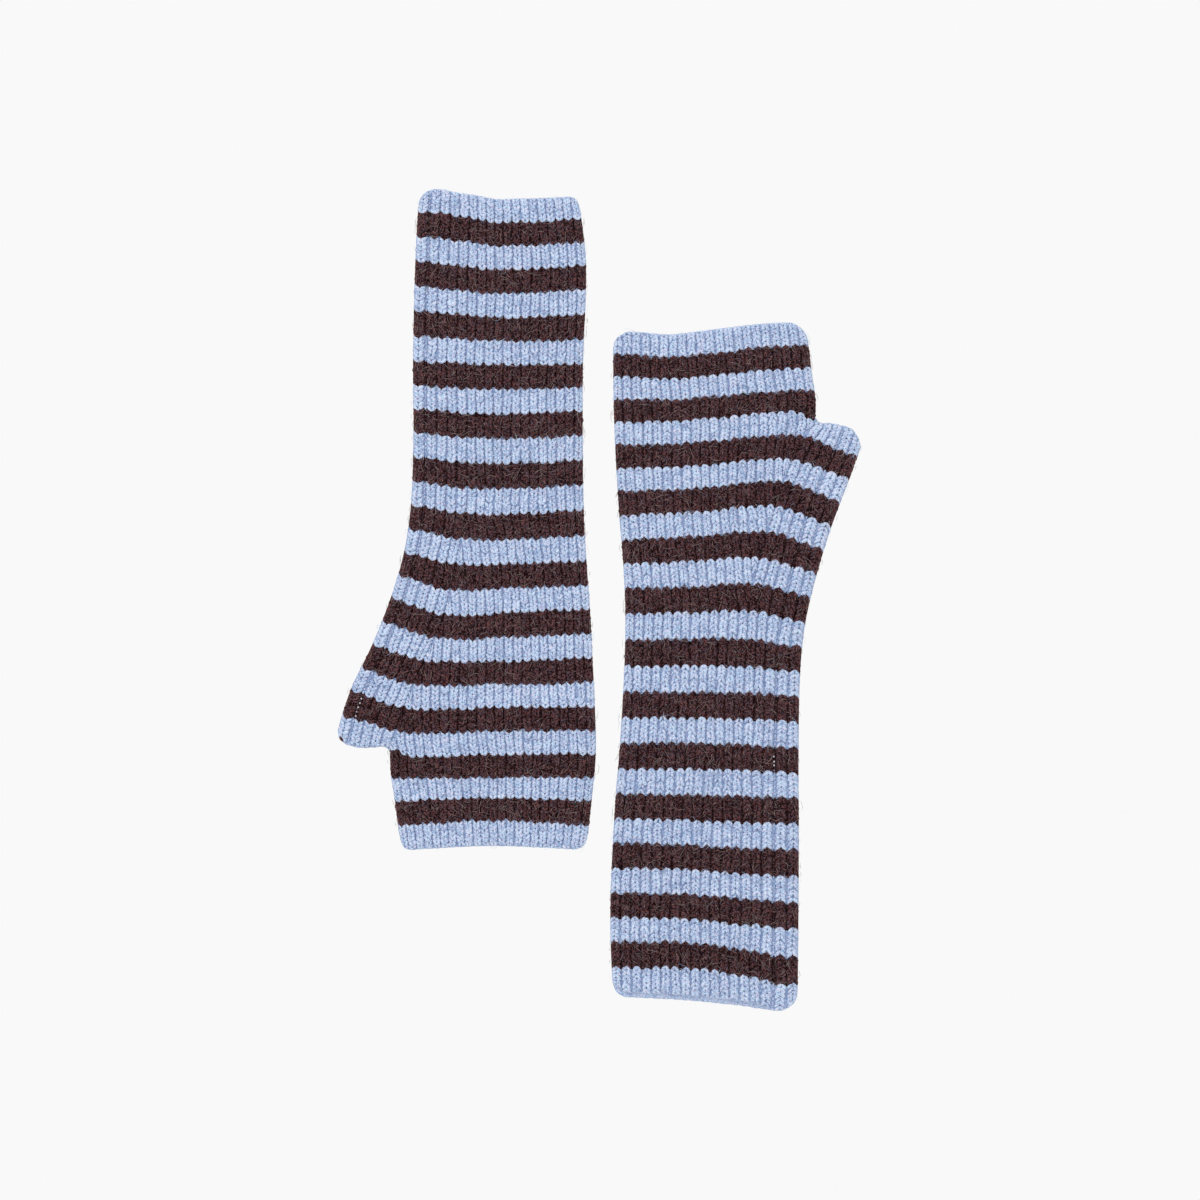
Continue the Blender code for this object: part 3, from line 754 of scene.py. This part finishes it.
def rim_line(warmer, opening):
    """The middle of the wall round one opening, with its rib: along the upper hem, back on the lower."""
    stripe = OPENINGS[opening]
    main_end = float(main_ribs(warmer, stripe))
    parts = []
    if opening != "thumb":
        parts.append((False, np.linspace(0, main_end, MAIN_RIM_POINTS)))
    if opening != "finger":
        parts.append((True, np.linspace(0, THUMB_RIBS, THUMB_RIM_POINTS)))
    halves = []
    for upper in (True, False):
        line = []
        for thumb, rib in parts:
            at = (warmer, np.full(rib.shape, thumb), np.full(rib.shape, stripe), rib, upper)
            middle = (cloth_point(*at) + cloth_point(*at, inside=True)) / 2
            line.append(np.column_stack([middle, rib + (main_end if thumb else 0.0)]))
        halves.append(np.concatenate(line))
    return np.concatenate([halves[0], halves[1][::-1]])


def evenly_round(line, spacing):
    """Points at even distances round a closed line, and how far along it each one is."""
    closed = np.concatenate([line, line[:1]])
    lengths = np.r_[0, np.cumsum(np.linalg.norm(np.diff(closed[:, :3], axis=0), axis=1))]
    count = int(round(lengths[-1] / spacing))
    at = np.arange(count) * lengths[-1] / count
    return np.stack([np.interp(at, lengths, values) for values in closed.T], -1), at, lengths[-1]


def smooth_noise(dice, at, length, wave):
    """Soft random values round a closed line."""
    knots = dice.standard_normal(max(4, int(length / wave)))
    place = at / length * len(knots)
    low = np.floor(place).astype(int)
    share = place - low
    share = share * share * (3 - 2 * share)
    return knots[low % len(knots)] * (1 - share) + knots[(low + 1) % len(knots)] * share


def softened(values, times):
    """Values round a closed line, each one drawn towards its neighbours this many times."""
    for _ in range(times):
        values = (np.roll(values, 1, 0) + 2 * values + np.roll(values, -1, 0)) / 4
    return values


def hem_bead(warmer, opening, dice):
    """The bead round one opening. It ripples with the ribs, plump on each and thin between them, with
    painted shade between the ribs and on its lower half.
    """
    line, at, length = evenly_round(rim_line(warmer, opening), BEAD_SPACING)
    centre, rib = softened(line[:, :3], LINE_SOFTENING), line[:, 3]
    tangent = np.roll(centre, -1, 0) - np.roll(centre, 1, 0)
    tangent /= np.linalg.norm(tangent, axis=1, keepdims=True)
    side = np.clip((centre[:, 2:] - MIDDLE_LEVEL) / 0.5, -1.0, 1.0)
    facing = -1.0 if opening == "forearm" else 1.0
    outwards = softened(facing * np.cross((0.0, 0.0, 1.0), tangent) * side, OUTWARDS_SOFTENING)
    along = outwards - tangent * np.sum(tangent * outwards, axis=1, keepdims=True)
    along /= np.linalg.norm(along, axis=1, keepdims=True)
    across = np.cross(tangent, along)
    centre = centre - along * (BEAD_ALONG - HEM_INSET)
    turn = np.arange(BEAD_SIDES) / BEAD_SIDES * 2 * np.pi
    wave = np.repeat(-np.cos(2 * np.pi * rib)[:, None], BEAD_SIDES, 1)
    plump = 1 + 0.1 * wave + 0.06 * smooth_noise(dice, at, length, BEAD_WAVE)[:, None]
    points = (
        centre[:, None, :]
        + along[:, None, :] * (BEAD_ALONG * np.cos(turn)[None, :] * plump)[..., None]
        + across[:, None, :] * (BEAD_ACROSS * np.sin(turn)[None, :] * plump)[..., None]
    )
    points[..., 2] = np.maximum(points[..., 2], BEAD_FLOOR)
    rings = len(centre)
    number = np.arange(rings * BEAD_SIDES).reshape(rings, BEAD_SIDES)
    following = np.roll(number, -1, 0)
    faces = np.stack([number, np.roll(number, -1, 1), np.roll(following, -1, 1), following], -1)
    tone = smooth_noise(dice, at, length, BEAD_WAVE)[:, None] * np.ones_like(wave)
    # Painted shade: the bead is darker between the ribs, where it is thin, and on its lower half, under
    # the upper wall's hem, with some random spread.
    under = np.clip(-side, 0.0, 1.0)
    painted_shade = np.clip(0.1 - 0.25 * wave + under * (0.45 + 0.4 * tone), 0.0, 1.0)
    made = mesh_object(
        f"{warmer.name}_{opening}_hem", placed(warmer, points).reshape(-1, 3), faces.ravel(),
        np.arange(number.size) * 4,
        attributes=[("tone", tone.ravel()), ("painted_shade", painted_shade.ravel())],
    )
    made.data.materials.append(blue_wool)
    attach(made, "root")
    return made


for warmer in WARMERS:
    dice = np.random.default_rng(21 if warmer.name == "left" else 22)
    added[warmer.name] += [hem_bead(warmer, opening, dice) for opening in OPENINGS]

# The seams: each warmer is linked down its thumb side. Small loops of the stripe's own yarn lie in a wide
# valley between two ribs, and in one brown stripe blue loops show through as a row of pale dots.
LOOP_PATH = (
    (0.0, -0.48, 0.0, 0.0),
    (0.0, -0.30, 0.14, 0.34),
    (0.0, 0.0, 0.20, 0.42),
    (0.0, 0.30, 0.14, 0.34),
    (0.0, 0.48, 0.0, 0.0),
)
DOT_PATH = (
    (0.0, -0.26, 0.62, 0.0),
    (0.0, -0.12, 0.66, 0.36),
    (0.0, 0.12, 0.66, 0.36),
    (0.0, 0.26, 0.62, 0.0),
)
DOT_SHIFT = -0.07
LOOP_SPREAD = 0.02


def across_of(shape):
    """How far each point of a leg's shape lies to either side, with the leg's slant taken out."""
    return np.hypot(shape[:, 2], shape[:, 3]) * np.sign(shape[:, 2])


def seam_loops(warmer, name, blue, dots, dice):
    """The linking loops of one yarn, on the upper side, or the few that stand out as dots."""
    shape, faces = leg_shape(6, DOT_PATH if dots else LOOP_PATH)
    first, last = warmer.seam.ribs[warmer.seam.valley: warmer.seam.valley + 2]
    rows = np.arange(THUMB_STRIPE * ROWS_OF_STRIPE + 1, STRIPES * ROWS_OF_STRIPE - 1)
    stripes = (rows + 0.5) / ROWS_OF_STRIPE
    own = stripes.astype(int) % 2 == (0 if blue else 1)
    stripes = np.array(warmer.seam.dots) if dots else stripes[own]
    count, size = len(stripes), len(shape)
    middle = (first + last) / 2 + (DOT_SHIFT if dots else 0.0)
    rib = middle + LOOP_SPREAD * dice.standard_normal((count, 1)) + np.zeros((1, size))
    stripe = stripes[:, None] + shape[None, :, 1] / ROWS_OF_STRIPE
    thumb = np.ones(rib.shape, bool)
    across = across_of(shape)[None, :] * np.ones_like(rib)
    lift = shape[None, :, 4] * np.ones_like(rib)
    points = laid(warmer, True, thumb, rib, stripe, across, np.zeros_like(rib), lift)
    tone = dice.standard_normal((count, 1)) + np.zeros((1, size))
    # Painted shade: the loops, low in the seam's valley, are marked well into shade; the dots, which
    # stand up, barely.
    made = mesh_object(
        name, placed(warmer, points).reshape(-1, 3), *copied(faces, size, count),
        attributes=[("tone", tone.ravel()), ("painted_shade", np.full(tone.size, 0.1 if dots else 0.8))],
    )
    made.data.materials.append(dusty_wool if dots else blue_wool if blue else brown_wool)
    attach(made, "root")
    return made


DUSTY = ((0.72, 0.68, 0.74), (0.50, 0.46, 0.54), (0.24, 0.20, 0.24))
dusty_wool = wool("dusty_wool", DUSTY, 0.58, (1.5, 0.5, 0.4), 0.3)[0]
for warmer in WARMERS:
    dice = np.random.default_rng(31 if warmer.name == "left" else 32)
    added[warmer.name] += [
        seam_loops(warmer, f"{warmer.name}_seam_blue", True, False, dice),
        seam_loops(warmer, f"{warmer.name}_seam_brown", False, False, dice),
        seam_loops(warmer, f"{warmer.name}_seam_dots", True, True, dice),
    ]

# The yarn end: a short tail of the dark brown yarn that peeps out at the corner of the left thumb hem.
# It is a small tapered roll that lies along the edge.
YARN_END_STRIPE = 4.08
YARN_END_RIB = 5.28
YARN_END_PATH = (
    (0.0, -1.4, 0.5, 0.0),
    (0.0, -0.8, 0.65, 0.5),
    (0.0, 0.0, 0.7, 0.62),
    (0.0, 0.8, 0.65, 0.52),
    (0.0, 1.4, 0.5, 0.0),
)
shape, faces = leg_shape(8, YARN_END_PATH)
spot = np.ones(len(shape))
points = laid(
    WARMERS[0], True, spot > 0, spot * YARN_END_RIB, spot * YARN_END_STRIPE,
    shape[:, 1], -across_of(shape), shape[:, 4],
)
# The tail is darkened a little all over by painted shade.
yarn_end = mesh_object(
    "left_yarn_end", placed(WARMERS[0], points), *copied(faces, len(shape), 1),
    attributes=[("tone", np.zeros(len(shape))), ("painted_shade", np.full(len(shape), 0.4))],
)
yarn_end.data.materials.append(brown_wool)
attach(yarn_end, "root")
added["left"].append(yarn_end)

# The fuzz: loose wool hairs that lie on the ribs and stick out a little past the folds. One hair is
# modelled and copied, blue ones on the blue stripes and paler brown ones on the brown stripes.
HAIR_PATH = ((-1.0, 0.0), (-0.45, 1.0), (0.45, 1.0), (1.0, 0.0))
HAIR_RADIUS = 0.07
HAIR_SIDES = 3
HAIRS = 5000
HAIR_HALF = (0.42, 0.4)
HAIR_LIMITS = (0.6, 3.4)
HAIR_BEND = 0.32
HAIR_LEVEL, HAIR_LEVEL_SPREAD = 1.02, 0.12
HAIR_RISE = 0.35
HAIR_FLOOR = 0.1
FOLD_RIBS = 1.4
FOLD_COMBING = 0.8


def hairs(warmer, name, blue, count, dice):
    """One joined mesh of short, bent hairs on the upper side of the stripes of one yarn."""
    ring, turn, faces = ball_of(HAIR_SIDES, len(HAIR_PATH) - 1)
    share, thick = np.array(HAIR_PATH)[ring].T
    first = 0 if blue else 1
    own_stripes = (STRIPES + 1 - first) // 2
    stripe = np.floor(dice.uniform(0, own_stripes, count)) * 2 + first + dice.uniform(0, 1, count)
    main = main_ribs(warmer, stripe)
    whole = main + np.where(stripe > THUMB_STRIPE, THUMB_RIBS, 0)
    rib = dice.uniform(0, 1, count) * whole
    by_fold = np.clip(FOLD_RIBS - np.minimum(rib, whole - rib), 0, 1)[:, None]
    thumb = rib > main
    rib = np.where(thumb, rib - main, rib)
    half = np.clip(dice.lognormal(*HAIR_HALF, count), *HAIR_LIMITS)[:, None]
    heading = dice.uniform(0, np.pi, count)[:, None]
    heading += (np.pi / 2 - heading) * by_fold * FOLD_COMBING
    bend = (dice.standard_normal(count) * HAIR_BEND)[:, None] * half
    straight = share[None, :] * half
    sideways = bend * (1 - share[None, :] ** 2) + HAIR_RADIUS * thick * np.cos(turn)[None, :]
    across = straight * np.cos(heading) - sideways * np.sin(heading)
    along = straight * np.sin(heading) + sideways * np.cos(heading)
    level = HAIR_LEVEL + HAIR_LEVEL_SPREAD * dice.standard_normal(count)[:, None]
    rise = dice.uniform(0.0, HAIR_RISE, count)[:, None] * share[None, :]
    lift = level + rise + HAIR_RADIUS * thick * np.sin(turn)[None, :]
    size = len(share)
    flags = np.broadcast_to(thumb[:, None], (count, size))
    points = laid(
        warmer, True, flags, np.repeat(rib[:, None], size, 1), np.repeat(stripe[:, None], size, 1),
        across, along, lift,
    )
    points[..., 2] = np.maximum(points[..., 2], HAIR_FLOOR)
    pattern = [tuple(reversed(f)) for f in faces]
    tone = np.repeat(dice.standard_normal(count)[:, None], size, 1)
    made = mesh_object(
        name, placed(warmer, points).reshape(-1, 3), *copied(pattern, size, count),
        attributes=[("tone", tone.ravel()), ("painted_shade", np.zeros(tone.size))],
    )
    made.data.materials.append(blue_hair if blue else brown_hair)
    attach(made, "root")
    return made


BLUE_HAIR = ((0.80, 0.86, 0.97), (0.62, 0.72, 0.92), (0.40, 0.52, 0.80))
BROWN_HAIR = ((0.44, 0.34, 0.32), (0.18, 0.11, 0.11), (0.06, 0.03, 0.02))
blue_hair = wool("blue_hair", BLUE_HAIR, 2.0, (1.0, 0.5, 0.2), 0.0)[0]
brown_hair = wool("brown_hair", BROWN_HAIR, 2.0, (1.0, 0.5, 0.4), 0.0)[0]
for warmer in WARMERS:
    dice = np.random.default_rng(41 if warmer.name == "left" else 42)
    added[warmer.name] += [
        hairs(warmer, f"{warmer.name}_hairs_blue", True, HAIRS // 3, dice),
        hairs(warmer, f"{warmer.name}_hairs_brown", False, 2 * HAIRS // 3, dice),
    ]

# The cut of each warmer, as it was knitted: one tube, twice as wide as the laid warmer and as long as
# its stripes. Only its laid edges are worked out here, row by row in millimetres; nothing is made of
# them.
CUT_ROWS = STRIPES * 20 + 1
for warmer in WARMERS:
    rows = np.linspace(0, STRIPES, CUT_ROWS)
    on_main, on_thumb = np.zeros(CUT_ROWS, bool), np.ones(CUT_ROWS, bool)
    outer = np.stack(on_cloth(warmer, on_main, rows, np.zeros(CUT_ROWS))[:2], -1)
    inner_main = np.stack(on_cloth(warmer, on_main, rows, main_ribs(warmer, rows))[:2], -1)
    inner_thumb = np.stack(on_cloth(warmer, on_thumb, rows, np.full(CUT_ROWS, float(THUMB_RIBS)))[:2], -1)

# The table, the lamps and the camera. The pair lies on a smooth, nearly white table under broad, soft
# lamps and is seen from straight above. The frame is 1200 by 1200 pixels, at 0.43 mm a pixel.
FRAME_WIDTH = 0.516
CAMERA_HEIGHT = 2.6
CAMERA_PLACE = (0.00012, -0.00037)
CLOTH_HEIGHT = 0.005
SENSOR_WIDTH = 36.0
TABLE_SIZE = 8.0
TABLE_GLOW = 0.947
ROOM_GLOW = 0.74

bpy.ops.object.camera_add(location=(*CAMERA_PLACE, CAMERA_HEIGHT))
camera = bpy.context.object
camera.data.sensor_width = SENSOR_WIDTH
camera.data.lens = SENSOR_WIDTH * (CAMERA_HEIGHT - CLOTH_HEIGHT) / FRAME_WIDTH
bpy.context.scene.camera = camera

bpy.ops.mesh.primitive_plane_add(size=TABLE_SIZE)
table = bpy.context.object
table.name = "table"
table_paint = bpy.data.materials.new("table_paint")
table_paint.use_nodes = True
table_shader = table_paint.node_tree.nodes["Principled BSDF"]
table_shader.inputs["Base Color"].default_value = (0.0, 0.0, 0.0, 1.0)
table_shader.inputs["Specular IOR Level"].default_value = 0.0
table_shader.inputs["Emission Color"].default_value = (1.0, 1.0, 1.0, 1.0)
table_shader.inputs["Emission Strength"].default_value = TABLE_GLOW
table.data.materials.append(table_paint)


def soft_lamp(name, place, size, watts):
    """A square area lamp that faces the pair."""
    bpy.ops.object.light_add(type="AREA", location=place)
    lamp = bpy.context.object
    lamp.name = name
    lamp.data.size = size
    lamp.data.energy = watts
    reach = math.hypot(place[0], place[1])
    lamp.rotation_euler = (math.atan2(reach, place[2]), 0.0, math.atan2(place[0], -place[1]))


soft_lamp("key_lamp", (-1.3, 1.5, 1.9), 1.3, 26.0)
soft_lamp("fill_lamp", (1.6, -1.2, 2.0), 1.6, 9.0)

room = bpy.data.worlds.new("room")
room.use_nodes = True
room_light = room.node_tree.nodes["Background"]
room_light.inputs["Color"].default_value = (1.0, 1.0, 1.0, 1.0)
room_light.inputs["Strength"].default_value = ROOM_GLOW
bpy.context.scene.world = room
bpy.context.scene.view_settings.view_transform = "Standard"
